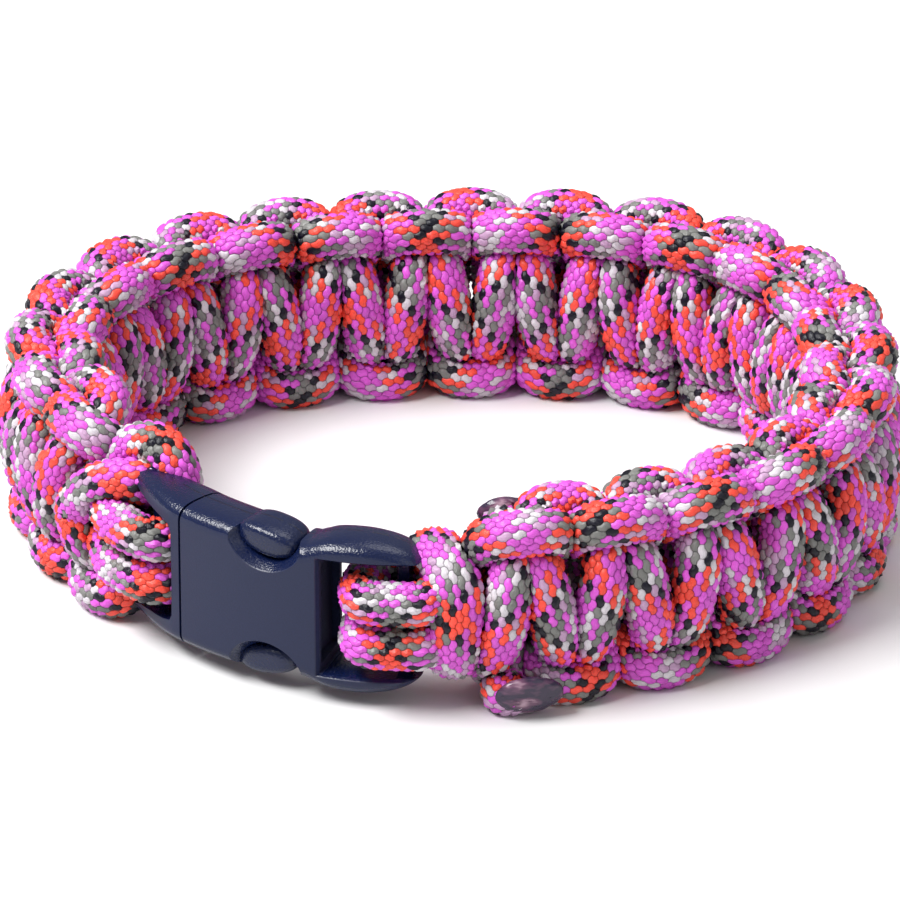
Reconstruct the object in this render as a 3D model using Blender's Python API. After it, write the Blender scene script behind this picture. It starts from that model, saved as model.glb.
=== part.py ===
# A wrist band woven from braided nylon cord in square knots, closed by a small side-release
# buckle. It lies on its edge: X runs along the buckle, -Y is the buckle's outer side and +Z
# is the axis of the wrist. The origin is on the ground, under the middle of the loop.
#
# Places on the band are given straight, as (along, across, out): along the loop from the
# buckle's middle towards the socket, across the band upwards from its middle, and out from
# the loop's middle line. The function placed() bends them round the loop.
import math

import bmesh
import bpy
import numpy as np
from mathutils import Matrix

MM = 0.001

# Cord and knots
CORD = 4.1 * MM             # thickness of the cord
CROSSINGS = 43              # half knots, each with one crossing on the outer face
KNOT_PITCH = 8.95 * MM      # one whole square knot along the band
BAND_WIDTH = 19.4 * MM      # across the knots, as the band stands
BAND_THICKNESS = 10.6 * MM  # over the crossings of both faces
CORE_GAP = 0.3 * MM         # between the two cords that the knots hold
REST_FLAT = 0.25 * MM       # how far the lowest bends are pressed flat
END_SPREAD = 0.9 * MM       # how far the socket's end of the weave is pushed up the loop
SEAT_GAP = 0.3 * MM         # between pieces that touch
PLUG_STUB = 1.7 * MM        # bare core cord between the band and the plug

# Buckle
SOCKET_LENGTH = 23.0 * MM
PLUG_LENGTH = 7.2 * MM      # the part that stays outside the socket
BUCKLE_THICKNESS = 6.8 * MM
BODY_HEIGHT = 14.6 * MM
SHOULDER_HEIGHT = 15.6 * MM
BUCKLE_DROP = 0.9 * MM      # the buckle hangs this far below the band's middle
EDGE_ROUND = 1.2 * MM
SLOT_HEIGHT = 11.4 * MM
BAR_WIDTH = 1.5 * MM
BAR_THICKNESS = 2.1 * MM
SOCKET_BAR_SETBACK = 1.6 * MM
PLUG_BAR_SETBACK = 0.15 * MM
PLUG_WEB = 0.8 * MM         # the plug's rib next to the socket's mouth
CAVITY_LENGTH = 12.6 * MM
CAVITY_HEIGHT = 10.8 * MM
CAVITY_THICKNESS = 3.8 * MM
SCOOP_RADIUS = 4.0 * MM     # finger cut at each side button
SCOOP_DEPTH = 3.6 * MM      # below the socket's shoulder
SCOOP_PLACE = 9.1 * MM      # from the socket's mouth to the middle of the finger cut
PRONG_WIDTH = 1.8 * MM
GUIDE_WIDTH = 2.2 * MM
GUIDE_LENGTH = 9.0 * MM
BUTTON_LENGTH = 5.6 * MM

# Melted ends of the cord
MELT_ROUND = 3.0 * MM       # half the long side of a melted face
MELT_FLAT = 1.7 * MM        # half the short side
MELT_DEPTH = 0.9 * MM      # half its thickness

# The loop's shape from above: the angle from the buckle's side towards the socket, in
# degrees, and the radius there as a share of the mean. The back left is pressed flatter.
PLAN = (
    (0, 0.985), (30, 0.999), (60, 1.002), (90, 1.046), (120, 1.031), (150, 1.039),
    (180, 0.968), (210, 0.891), (240, 0.942), (270, 1.041), (300, 1.028), (330, 0.960),
)
BUCKLE_ANGLE = 2.5          # where the buckle's middle sits, in the same degrees

# One quarter of a strand's way, from the middle of its crossing on the outer face, round
# the band's lower edge, to the top of its bend on the inner face. The shares are of half
# a knot's length, of the bend's distance from the middle and of the crossing's height.
#    along  across  out
QUARTER = (
    (0.000, 0.00, 1.00),
    (-0.055, 0.22, 0.97),
    (-0.120, 0.42, 0.83),
    (-0.190, 0.58, 0.53),
    (-0.250, 0.72, 0.03),
    (-0.235, 0.81, -0.21),
    (-0.170, 0.89, -0.41),
    (0.020, 0.96, -0.64),
    (0.245, 0.99, -0.73),
    (0.500, 1.00, -0.76),
)
FREE_END = 6                # rows of the quarter that a cut end still follows

# How fine the solids are
LOOP_STEPS = 1440
RINGS_A_CROSSING = 4
CORD_SIDES = 3              # bevel resolution of the bare cords, 10 sides
BEND_STEP = 2.4 * MM        # how closely the buckle is cut to be bent

# Values that follow
HALF_PITCH = KNOT_PITCH / 2
BEND_ACROSS = BAND_WIDTH / 2 + REST_FLAT - CORD / 2
CROSSING_OUT = BAND_THICKNESS / 2 - CORD / 2
CORE_ACROSS = (CORD + CORE_GAP) / 2
SOCKET_END = (SOCKET_LENGTH + SEAT_GAP + PLUG_LENGTH) / 2
SOCKET_MOUTH = SOCKET_END - SOCKET_LENGTH
PLUG_FACE = SOCKET_MOUTH - SEAT_GAP
PLUG_END = PLUG_FACE - PLUG_LENGTH
SOCKET_BAR = SOCKET_END - SOCKET_BAR_SETBACK - BAR_WIDTH / 2
PLUG_BAR = PLUG_END + PLUG_BAR_SETBACK + BAR_WIDTH / 2
BAR_TO_CORD = BAR_WIDTH / 2 + SEAT_GAP + CORD / 2
END_WRAP = SOCKET_END + SEAT_GAP + CORD / 2
FIRST_KNOT = END_WRAP + CORD - END_SPREAD
LAST_KNOT = FIRST_KNOT + (CROSSINGS - 1) * HALF_PITCH
BAND_START = END_WRAP - CORD / 2 + SEAT_GAP
BAND_STOP = LAST_KNOT + HALF_PITCH / 2
LOOP_LENGTH = BAND_STOP + PLUG_STUB - PLUG_END

COLOURS = {
    # name: colour, roughness
    "braided_cord": ((0.62, 0.25, 0.45), 0.75),
    "core_cord": ((0.60, 0.30, 0.40), 0.75),
    "buckle_plastic": ((0.030, 0.038, 0.085), 0.45),
    "melted_nylon": ((0.10, 0.07, 0.12), 0.25),
}


def plan_share(angle):
    """Radius share at an angle in radians: the smooth round curve through PLAN's rows."""
    rows = np.radians([row[0] for row in PLAN])
    shares = np.array([row[1] for row in PLAN])
    share = np.full_like(angle, shares.mean())
    for order in range(1, len(PLAN) // 2):
        share += 2 * np.mean(shares * np.cos(order * rows)) * np.cos(order * angle)
        share += 2 * np.mean(shares * np.sin(order * rows)) * np.sin(order * angle)
    return share


def middle_line():
    """Closed middle line of the loop: arc length from the buckle's middle, x, y and normal."""
    angle = math.radians(BUCKLE_ANGLE) + np.linspace(0, 2 * math.pi, LOOP_STEPS + 1)
    radius = plan_share(angle)
    x, y = radius * np.sin(angle), -radius * np.cos(angle)
    arc = np.concatenate([[0], np.cumsum(np.hypot(np.diff(x), np.diff(y)))])
    scale = LOOP_LENGTH / arc[-1]
    x, y, arc = x * scale, y * scale, arc * scale
    x -= (x.max() + x.min()) / 2
    back, front = y.max() + BAND_THICKNESS / 2, y.min() - BUCKLE_THICKNESS / 2
    y -= (back + front) / 2
    way_x = np.gradient(np.concatenate([x[-2:-1], x, x[1:2]]))[1:-1]
    way_y = np.gradient(np.concatenate([y[-2:-1], y, y[1:2]]))[1:-1]
    size = np.hypot(way_x, way_y)
    return arc, x, y, way_y / size, -way_x / size


LOOP = middle_line()


def placed(along, across, out):
    """World place of a point given straight."""
    arc, x, y, out_x, out_y = LOOP
    here = along % LOOP_LENGTH
    return (
        float(np.interp(here, arc, x) + out * np.interp(here, arc, out_x)),
        float(np.interp(here, arc, y) + out * np.interp(here, arc, out_y)),
        float(BAND_WIDTH / 2 + across),
    )


def spread(along):
    """Moves the first knots up the loop, away from the socket."""
    return along + END_SPREAD * math.exp(-abs(along - FIRST_KNOT) / HALF_PITCH)


def smooth_way(points, step):
    """Points every step or so along the smooth curve through the given ones."""
    points = np.array(points, float)
    ends = np.vstack([2 * points[0] - points[1], points, 2 * points[-1] - points[-2]])
    way = []
    for before, start, stop, after in zip(ends, ends[1:], ends[2:], ends[3:]):
        count = max(1, round(float(np.linalg.norm(stop - start)) / step))
        for t in np.arange(count) / count:
            way.append(
                start
                + 0.5 * t * (stop - before)
                + t * t * (before - 2.5 * start + 2 * stop - 0.5 * after)
                + 0.5 * t**3 * (3 * start - before - 3 * stop + after)
            )
    way.append(points[-1])
    return np.array(way)


def quarter_rows():
    return [(a * HALF_PITCH, c * BEND_ACROSS, o * CROSSING_OUT) for a, c, o in QUARTER]


def strand_way(face):
    """One working strand: face 1 crosses on the outer face, -1 on the inner one."""
    rows = quarter_rows()
    points = []
    for crossing in range(CROSSINGS):
        place = FIRST_KNOT + crossing * HALF_PITCH
        side = 1 if crossing % 2 == 0 else -1
        before = [(-a, c, o) for a, c, o in reversed(rows)]
        after = [(a, -c, o) for a, c, o in rows[1:]]
        if crossing == 0:
            before = before[len(rows) - FREE_END :]
        if crossing == CROSSINGS - 1:
            after = after[: FREE_END - 1]
        unit = before + (after if crossing == CROSSINGS - 1 else after[:-1])
        points += [(spread(place + a), side * face * c, face * o) for a, c, o in unit]
    return smooth_way(points, 0.5 * MM)


def end_wrap_way():
    """The turn of cord round the core cords next to the socket, as a closed ring."""
    turn = np.linspace(0, 2 * math.pi, 61)
    across = (BEND_ACROSS - CORD / 4) * np.cos(turn)
    out = CROSSING_OUT * np.sin(turn)
    return np.stack([np.full_like(turn, END_WRAP), across, out], axis=1)


def core_way():
    along = np.arange(BAND_START, BAND_STOP, 0.5 * MM)
    rows = [np.stack([along, np.full_like(along, s * CORE_ACROSS), 0 * along], axis=1) for s in (-1, 1)]
    return np.vstack(rows)


def section_rays():
    """Start across and direction (across, out) of each ray that feels for the band's skin."""
    reach = BEND_ACROSS * 0.62
    rays = []
    for face in (1, -1):
        rays += [(face * reach * share, 0.0, float(face)) for share in (1, 0.5, 0, -0.5, -1)]
        for degrees in (-60, -33, -20, 20, 33, 60):
            turn = math.radians(degrees)
            rays.append((-face * reach, -face * math.cos(turn), -face * math.sin(turn)))
    return np.array(rays)


def skin_ring(along, cords, rays):
    """Corners (across, out) of the band's skin at one place: the farthest cord on each ray."""
    near = cords[np.abs(cords[:, 0] - along) < CORD / 2]
    start, way = rays[:, :1], rays[:, 1:]
    from_start = near[None, :, 1:] - np.stack([start, 0 * start], axis=2)
    ahead = (from_start * way[:, None, :]).sum(axis=2)
    room = (CORD / 2) ** 2 - (near[:, 0] - along)[None] ** 2
    room = room + ahead**2 - (from_start**2).sum(axis=2)
    reach = np.where(room > 0, ahead + np.sqrt(np.maximum(room, 0)), 0).max(axis=1)
    reach = np.maximum(reach, CORD / 4)
    across = rays[:, 0] + reach * rays[:, 1]
    return np.maximum(across, -BAND_WIDTH / 2), reach * rays[:, 2]


def band_skin():
    """Rings of the weave's outer skin: the place along the loop, then across and out."""
    cords = np.vstack([strand_way(1), strand_way(-1), end_wrap_way(), core_way()])
    rays = section_rays()
    step = HALF_PITCH / RINGS_A_CROSSING
    count = int((BAND_STOP - BAND_START) / step)
    places = [BAND_START] + [BAND_STOP - step * (count - i) for i in range(1, count + 1)]
    return [(along, *skin_ring(along, cords, rays)) for along in places]


def woven_band(skin):
    """The whole weave as one body: the rings of its skin, joined along the loop."""
    mesh = bmesh.new()
    rings = []
    for along, across, out in skin:
        rings.append([mesh.verts.new(placed(along, a, o)) for a, o in zip(across, out)])
    for ring, following in zip(rings, rings[1:]):
        for i in range(len(ring)):
            j = (i + 1) % len(ring)
            mesh.faces.new((ring[i], following[i], following[j], ring[j]))
    mesh.faces.new(rings[0])
    mesh.faces.new(list(reversed(rings[-1])))
    bmesh.ops.recalc_face_normals(mesh, faces=mesh.faces)
    return finished("woven_band", mesh, "braided_cord")


def skin_height(skin, along, across, face):
    """How far out the weave's skin comes at one place of its outer or inner face."""
    height = 0.0
    for place, ring_across, ring_out in skin:
        if abs(place - along) > HALF_PITCH / RINGS_A_CROSSING:
            continue
        for a, b, low, high in zip(ring_across, np.roll(ring_across, 1), ring_out, np.roll(ring_out, 1)):
            if min(a, b) <= across < max(a, b):
                height = max(height, face * (low + (high - low) * (across - a) / (b - a)))
    return height


def material(name):
    made = bpy.data.materials.get(name)
    if made:
        return made
    colour, roughness = COLOURS[name]
    made = bpy.data.materials.new(name)
    made.use_nodes = True
    shader = made.node_tree.nodes["Principled BSDF"]
    shader.inputs["Base Color"].default_value = (*colour, 1)
    shader.inputs["Roughness"].default_value = roughness
    return made


def collection(name):
    made = bpy.data.collections.get(name)
    if not made:
        made = bpy.data.collections.new(name)
        bpy.context.scene.collection.children.link(made)
    return made


def finished(name, mesh, slot):
    """Writes a bmesh into a named object of the bracelet."""
    data = bpy.data.meshes.new(name)
    mesh.to_mesh(data)
    mesh.free()
    data.materials.append(material(slot))
    data.shade_smooth()
    data.set_sharp_from_angle(angle=math.radians(40))
    piece = bpy.data.objects.new(name, data)
    collection("paracord_bracelet").objects.link(piece)
    return piece


def solid_from_curve(curve):
    """Makes a curve's solid a welded bmesh, and removes the curve."""
    shape = bpy.data.objects.new(curve.name, curve)
    bpy.context.scene.collection.objects.link(shape)
    bpy.context.view_layer.update()
    evaluated = shape.evaluated_get(bpy.context.evaluated_depsgraph_get())
    data = bpy.data.meshes.new_from_object(evaluated)
    mesh = bmesh.new()
    mesh.from_mesh(data)
    bmesh.ops.remove_doubles(mesh, verts=mesh.verts, dist=0.01 * MM)
    bmesh.ops.recalc_face_normals(mesh, faces=mesh.faces)
    bpy.data.objects.remove(shape)
    bpy.data.curves.remove(curve)
    bpy.data.meshes.remove(data)
    return mesh


def plate(outline, thickness, rounding):
    """A flat outline in (along, across) with its thickness out, rounded by a bevel."""
    curve = bpy.data.curves.new("plate", "CURVE")
    curve.dimensions = "2D"
    curve.fill_mode = "BOTH"
    curve.extrude = thickness / 2 - rounding
    curve.bevel_depth = rounding
    curve.bevel_resolution = 1
    curve.offset = -rounding
    spline = curve.splines.new("POLY")
    spline.points.add(len(outline) - 1)
    for point, (along, across) in zip(spline.points, outline):
        point.co = (along, across, 0, 1)
    spline.use_cyclic_u = True
    return solid_from_curve(curve)


def box(low, high):
    mesh = bmesh.new()
    bmesh.ops.create_cube(mesh, size=1)
    size = [h - l for l, h in zip(low, high)]
    middle = [(h + l) / 2 for l, h in zip(low, high)]
    bmesh.ops.scale(mesh, verts=mesh.verts, vec=size)
    bmesh.ops.translate(mesh, verts=mesh.verts, vec=middle)
    return mesh


def drum(along, across, radius, thickness):
    """A cylinder standing out of the buckle's face."""
    mesh = bmesh.new()
    bmesh.ops.create_cone(
        mesh, cap_ends=True, segments=24, radius1=radius, radius2=radius, depth=thickness
    )
    bmesh.ops.translate(mesh, verts=mesh.verts, vec=(along, across, 0))
    return mesh


def combined(base, others, operation):
    """Cuts or joins straight solids, given as bmeshes, and returns one bmesh."""
    work = collection("cutters")
    data = bpy.data.meshes.new("base")
    base.to_mesh(data)
    base.free()
    body = bpy.data.objects.new("base", data)
    work.objects.link(body)
    tools = []
    for other in others:
        tool_data = bpy.data.meshes.new("tool")
        other.to_mesh(tool_data)
        other.free()
        tool = bpy.data.objects.new("tool", tool_data)
        tool.hide_render = True
        tool.display_type = "WIRE"
        work.objects.link(tool)
        boolean = body.modifiers.new("boolean", "BOOLEAN")
        boolean.operation = operation
        boolean.object = tool
        tools.append(tool)
    bpy.context.view_layer.update()
    evaluated = body.evaluated_get(bpy.context.evaluated_depsgraph_get())
    result = bmesh.new()
    result.from_mesh(evaluated.to_mesh())
    for used in [body, *tools]:
        bpy.data.objects.remove(used)
    return result


def bent(mesh):
    """Cuts a straight buckle piece across and bends it round the loop."""
    alongs = [v.co.x for v in mesh.verts]
    low, high = min(alongs), max(alongs)
    cuts = max(1, round((high - low) / BEND_STEP))
    for cut in range(1, cuts):
        everything = mesh.verts[:] + mesh.edges[:] + mesh.faces[:]
        place = (low + (high - low) * cut / cuts, 0, 0)
        bmesh.ops.bisect_plane(mesh, geom=everything, plane_co=place, plane_no=(1, 0, 0))
    for vert in mesh.verts:
        along, across, out = vert.co
        vert.co = placed(along, across - BUCKLE_DROP, out)
    # placed() turns (along, across, out) the same way round, so the faces still point out
    bmesh.ops.triangulate(mesh, faces=[f for f in mesh.faces if len(f.verts) > 4])
    return mesh


def mirrored(half):
    """A closed outline from its upper half, listed from left to right."""
    return half + [(along, -across) for along, across in reversed(half)]


def socket():
    """The socket: a hollow body with finger cuts, a slot and a bar for the cords."""
    body, shoulder = BODY_HEIGHT / 2, SHOULDER_HEIGHT / 2
    corner = EDGE_ROUND
    half = [
        (SOCKET_MOUTH, body - corner),
        (SOCKET_MOUTH + 0.3 * corner, body - 0.3 * corner),
        (SOCKET_MOUTH + corner, body),
        (SOCKET_MOUTH + SCOOP_PLACE + SCOOP_RADIUS, body - 0.2 * MM),
        (SOCKET_MOUTH + SCOOP_PLACE + SCOOP_RADIUS + 2.2 * MM, shoulder),
        (SOCKET_END - 5.2 * MM, shoulder),
        (SOCKET_END - 2.4 * MM, shoulder - 0.9 * MM),
        (SOCKET_END, SLOT_HEIGHT / 2 - 0.2 * MM),
    ]
    wide = BUCKLE_THICKNESS
    scoop_middle = shoulder - SCOOP_DEPTH + SCOOP_RADIUS
    slot_start = SOCKET_BAR - BAR_TO_CORD - CORD / 2 - SEAT_GAP
    shell = plate(mirrored(half), wide, EDGE_ROUND)
    cuts = [
        box((slot_start, -SLOT_HEIGHT / 2, -wide), (SOCKET_END + wide, SLOT_HEIGHT / 2, wide)),
        box(
            (SOCKET_MOUTH - wide, -CAVITY_HEIGHT / 2, -CAVITY_THICKNESS / 2),
            (SOCKET_MOUTH + CAVITY_LENGTH, CAVITY_HEIGHT / 2, CAVITY_THICKNESS / 2),
        ),
        drum(SOCKET_MOUTH + SCOOP_PLACE, scoop_middle, SCOOP_RADIUS, 2 * wide),
        drum(SOCKET_MOUTH + SCOOP_PLACE, -scoop_middle, SCOOP_RADIUS, 2 * wide),
    ]
    shell = combined(shell, cuts, "DIFFERENCE")
    reach = SLOT_HEIGHT / 2 + 0.8 * MM
    bar = box(
        (SOCKET_BAR - BAR_WIDTH / 2, -reach, -BAR_THICKNESS / 2),
        (SOCKET_BAR + BAR_WIDTH / 2, reach, BAR_THICKNESS / 2),
    )
    shell = combined(shell, [bar], "UNION")
    return finished("buckle_socket", bent(shell), "buckle_plastic")


def plug():
    """The plug: its frame and bar outside the socket, its guide and two sprung prongs inside."""
    body = BODY_HEIGHT / 2
    half = [
        (PLUG_END, body - 1.1 * MM),
        (PLUG_END + 1.6 * MM, body),
        (PLUG_FACE - EDGE_ROUND, body),
        (PLUG_FACE, body - EDGE_ROUND),
    ]
    wide = BUCKLE_THICKNESS
    frame = plate(mirrored(half), wide, EDGE_ROUND)
    slot = box(
        (PLUG_END - wide, -SLOT_HEIGHT / 2, -wide),
        (PLUG_FACE - PLUG_WEB, SLOT_HEIGHT / 2, wide),
    )
    frame = combined(frame, [slot], "DIFFERENCE")
    reach = SLOT_HEIGHT / 2 + 0.8 * MM
    inner = CAVITY_THICKNESS / 2 - SEAT_GAP
    root = PLUG_FACE - PLUG_WEB / 2
    scoop = SOCKET_MOUTH + SCOOP_PLACE
    prong_top = CAVITY_HEIGHT / 2 - SEAT_GAP
    pieces = [
        box(
            (PLUG_BAR - BAR_WIDTH / 2, -reach, -BAR_THICKNESS / 2),
            (PLUG_BAR + BAR_WIDTH / 2, reach, BAR_THICKNESS / 2),
        ),
        box(
            (root, -GUIDE_WIDTH / 2, -inner),
            (SOCKET_MOUTH + GUIDE_LENGTH, GUIDE_WIDTH / 2, inner),
        ),
    ]
    for side in (1, -1):
        edges = sorted((side * prong_top, side * (prong_top - PRONG_WIDTH)))
        pieces.append(box((root, edges[0], -inner), (scoop, edges[1], inner)))
        button = [
            (scoop - BUTTON_LENGTH / 2, side * (prong_top - PRONG_WIDTH)),
            (scoop - BUTTON_LENGTH / 2, side * prong_top),
            (scoop - BUTTON_LENGTH / 4, side * (body - 0.1 * MM)),
            (scoop + BUTTON_LENGTH / 4, side * (body - 0.1 * MM)),
            (scoop + BUTTON_LENGTH / 2, side * prong_top),
            (scoop + BUTTON_LENGTH / 2, side * (prong_top - PRONG_WIDTH)),
        ]
        pieces.append(plate(button, 2 * inner, 0.3 * MM))
    frame = combined(frame, pieces, "UNION")
    return finished("buckle_plug", bent(frame), "buckle_plastic")


def core_loop(name, bar, way, band_end, across):
    """A bare core cord: from the band over the bar, through the slot and back under it."""
    round_bar = SEAT_GAP + CORD / 2
    run_out = BAR_THICKNESS / 2 + round_bar
    end = band_end - way * SEAT_GAP
    edge = bar - way * BAR_WIDTH / 2
    drop = across - BUCKLE_DROP
    over = [
        (end, drop, run_out),
        (end - way * SEAT_GAP, drop, run_out),
        (edge + way * BAR_WIDTH, drop, run_out),
        (edge, drop, run_out),
        (edge - way * round_bar * 0.71, drop, BAR_THICKNESS / 2 + round_bar * 0.71),
        (edge - way * round_bar, drop, BAR_THICKNESS / 2),
    ]
    points = over + [(a, c, -o) for a, c, o in reversed(over)]
    route = smooth_way(points, 2.5 * MM)
    curve = bpy.data.curves.new(name, "CURVE")
    curve.dimensions = "3D"
    curve.bevel_depth = CORD / 2
    curve.bevel_resolution = CORD_SIDES
    curve.use_fill_caps = True
    spline = curve.splines.new("POLY")
    spline.points.add(len(route) - 1)
    for point, place in zip(spline.points, route):
        point.co = (*placed(*place), 1)
    return finished(name, solid_from_curve(curve), "core_cord")


def melted_end(name, skin, along, across, face, tilt):
    """A cut end of the cord, melted to a rounded lump that lies on the weave."""
    mesh = bmesh.new()
    bmesh.ops.create_uvsphere(mesh, u_segments=14, v_segments=8, radius=1)
    bmesh.ops.scale(mesh, verts=mesh.verts, vec=(MELT_ROUND, MELT_FLAT, MELT_DEPTH))
    turn = Matrix.Rotation(math.radians(tilt), 3, "X")
    bmesh.ops.rotate(mesh, verts=mesh.verts, matrix=turn)
    bmesh.ops.translate(mesh, verts=mesh.verts, vec=(along, across, 0))
    seat = max(skin_height(skin, v.co.x, v.co.y, face) - face * v.co.z for v in mesh.verts)
    for vert in mesh.verts:
        vert.co = placed(vert.co.x, vert.co.y, vert.co.z + face * (seat + SEAT_GAP))
    return finished(name, mesh, "melted_nylon")


def clear_scene():
    for thing in list(bpy.data.objects):
        bpy.data.objects.remove(thing)


def build():
    clear_scene()
    socket()
    plug()
    skin = band_skin()
    woven_band(skin)
    for name, side in (("upper", 1), ("lower", -1)):
        across = side * CORE_ACROSS
        core_loop("socket_cord_" + name, SOCKET_BAR, 1, BAND_START, across)
        core_loop("plug_cord_" + name, PLUG_BAR, -1, BAND_STOP - LOOP_LENGTH, across)
    edge = BEND_ACROSS - 0.2 * MM
    melted_end("melted_end_lower", skin, FIRST_KNOT + 2.5 * MM, -edge, 1, 25)
    melted_end("melted_end_upper", skin, FIRST_KNOT + 2.0 * MM, edge, -1, 35)

build()
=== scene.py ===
import math

import bmesh
import bpy
import numpy as np
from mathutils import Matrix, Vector, noise
from mathutils.kdtree import KDTree


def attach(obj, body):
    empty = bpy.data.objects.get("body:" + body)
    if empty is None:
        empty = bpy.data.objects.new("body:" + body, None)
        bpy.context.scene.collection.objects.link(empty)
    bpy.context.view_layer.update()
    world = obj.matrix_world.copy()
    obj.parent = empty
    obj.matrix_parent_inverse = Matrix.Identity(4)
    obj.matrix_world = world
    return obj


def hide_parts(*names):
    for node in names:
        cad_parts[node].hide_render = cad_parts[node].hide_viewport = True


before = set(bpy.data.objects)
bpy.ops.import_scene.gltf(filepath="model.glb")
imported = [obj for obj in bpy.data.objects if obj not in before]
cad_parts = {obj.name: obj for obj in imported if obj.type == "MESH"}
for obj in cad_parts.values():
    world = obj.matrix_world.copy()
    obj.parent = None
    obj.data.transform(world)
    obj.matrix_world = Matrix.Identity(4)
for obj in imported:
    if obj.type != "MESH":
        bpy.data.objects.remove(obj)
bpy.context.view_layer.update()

# A paracord bracelet: two braided cords knotted round two core cords, and a small buckle.
# Places on the band are straight ones, (along, across, out) in millimetres: along the loop
# from the buckle's middle towards its socket, up from the band's middle, and out from the
# loop's middle line. bend() lays them round the loop, in metres.

mm = 0.001
sides = {"Upper": 1, "Lower": -1}
floorGap = 0.03          # nothing comes nearer to the floor than this


# the loop's middle line, the same as the frame's

loop = {
    "length": 227.9375,
    "buckleAngle": 2.5,
    # radius shares every 30 degrees, from the buckle's side towards the socket
    "shares": (0.985, 0.999, 1.002, 1.046, 1.031, 1.039, 0.968, 0.891, 0.942, 1.041, 1.028, 0.960),
    "bandWidth": 19.4,
    "bandThickness": 10.6,
    "buckleThickness": 6.8,
    "steps": 1440,
}


def middleLine():
    angle = math.radians(loop["buckleAngle"]) + np.linspace(0, 2 * math.pi, loop["steps"] + 1)
    shares = np.array(loop["shares"])
    rows = np.radians(np.arange(len(shares)) * 360 / len(shares))
    radius = np.full_like(angle, shares.mean())
    for order in range(1, len(shares) // 2):
        radius += 2 * np.mean(shares * np.cos(order * rows)) * np.cos(order * angle)
        radius += 2 * np.mean(shares * np.sin(order * rows)) * np.sin(order * angle)
    x, y = radius * np.sin(angle), -radius * np.cos(angle)
    arc = np.concatenate([[0], np.cumsum(np.hypot(np.diff(x), np.diff(y)))])
    scale = loop["length"] / arc[-1]
    x, y, arc = x * scale, y * scale, arc * scale
    x -= (x.max() + x.min()) / 2
    y -= (y.max() + loop["bandThickness"] / 2 + y.min() - loop["buckleThickness"] / 2) / 2
    wayX = np.gradient(np.concatenate([x[-2:-1], x, x[1:2]]))[1:-1]
    wayY = np.gradient(np.concatenate([y[-2:-1], y, y[1:2]]))[1:-1]
    size = np.hypot(wayX, wayY)
    return arc, x, y, wayY / size, -wayX / size


loopLine = middleLine()


def bend(places):
    arc, x, y, outX, outY = loopLine
    places = np.asarray(places, float)
    here = places[:, 0] % loop["length"]
    out = places[:, 2]
    worldX = np.interp(here, arc, x) + out * np.interp(here, arc, outX)
    worldY = np.interp(here, arc, y) + out * np.interp(here, arc, outY)
    return np.stack([worldX, worldY, loop["bandWidth"] / 2 + places[:, 1]], axis=1) * mm


# routes of the cords

cord = {
    "thickness": 4.1,
    "swell": 4.5,        # an unpressed cord's thickness between its neighbours
    "thinnest": 0.2,     # a pressed cord's smallest radius, as a share of its thickness
    "ownLength": 5.5,    # a cord presses on itself only past this length of its way
    "columns": 20,       # columns of stitches round the cord, with half as many yarns each way
    "stitch": 1.11,      # from one stitch to the next in its column
    "outerSide": 1.2,    # how far out of its middle line the stitches keep their length
    "mostRows": 1.8,     # a bend takes at most this many times a straight stretch's rows
    "relief": 0.26,      # how far a stitch's middle stands over its edges
    "heights": (1.0, 0.85, 0.2, 0.85),   # a stitch's four rows, from its middle
    "meanHeight": 0.6,
    "waist": 0.36,       # a column's edges go in and out by this share of half its width
    "slant": 0.28,       # stitches lean one way and the other by turns
    "sharpAngle": 75,
}

band = {
    "crossings": 43,
    "knotPitch": 8.95,
    "firstKnot": 20.8,
    "spread": 0.9,       # the socket's end of the weave is pushed up the loop
    "proud": 0.25,       # the bends stand this far past the band's width
    "start": 15.85,
    "stop": 210.99,
    # the core cords press on the others this far in from both ends
    "coreStart": 3,
    "coreStop": 6,
    "coreStep": 0.6,
    # one quarter of a strand's way, from the middle of its crossing on the outer face, round
    # the lower edge, to the top of its bend on the inner face: along, across and out shares
    "quarter": (
        (0.000, 0.00, 1.00),
        (-0.080, 0.22, 0.97),
        (-0.165, 0.42, 0.83),
        (-0.235, 0.58, 0.53),
        (-0.280, 0.72, 0.03),
        (-0.250, 0.81, -0.21),
        (-0.170, 0.89, -0.41),
        (0.020, 0.96, -0.64),
        (0.245, 0.99, -0.73),
        (0.500, 1.00, -0.76),
    ),
}

# the two working cords: the face that each crosses on, how its braid is turned, where it
# joins and leaves the knots, and its loose ends as along, across and out
strands = {
    "outerStrand": {
        "face": 1,
        "turn": 0.0,
        "firstRow": 5,
        "lastRow": 0,
        "missed": 1,     # it ends one crossing early
        "start": ((22.7, 5.0, -3.9), (22.6, 5.5, -3.1), (22.3, 6.2, -2.1)),
        "stop": (
            (205.5, 1.5, 3.25), (206.9, 3.0, 3.1), (208.6, 4.1, 2.4), (210.2, 4.7, 1.2),
            (211.6, 4.6, -0.4),
        ),
    },
    "innerStrand": {
        "face": -1,
        "turn": 0.35,
        "firstRow": 5,
        "lastRow": 4,
        "missed": 0,
        "start": ((23.2, -7.5, 4.6), (22.2, -7.9, 4.0), (21.6, -7.9, 2.9), (22.0, -7.5, 1.2)),
        "stop": (
            (208.5, 6.9, -0.8), (210.3, 7.4, -1.6), (212.2, 6.8, -1.9), (213.3, 5.2, -2.0),
            (213.3, 3.0, -2.2),
        ),
    },
}

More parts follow.
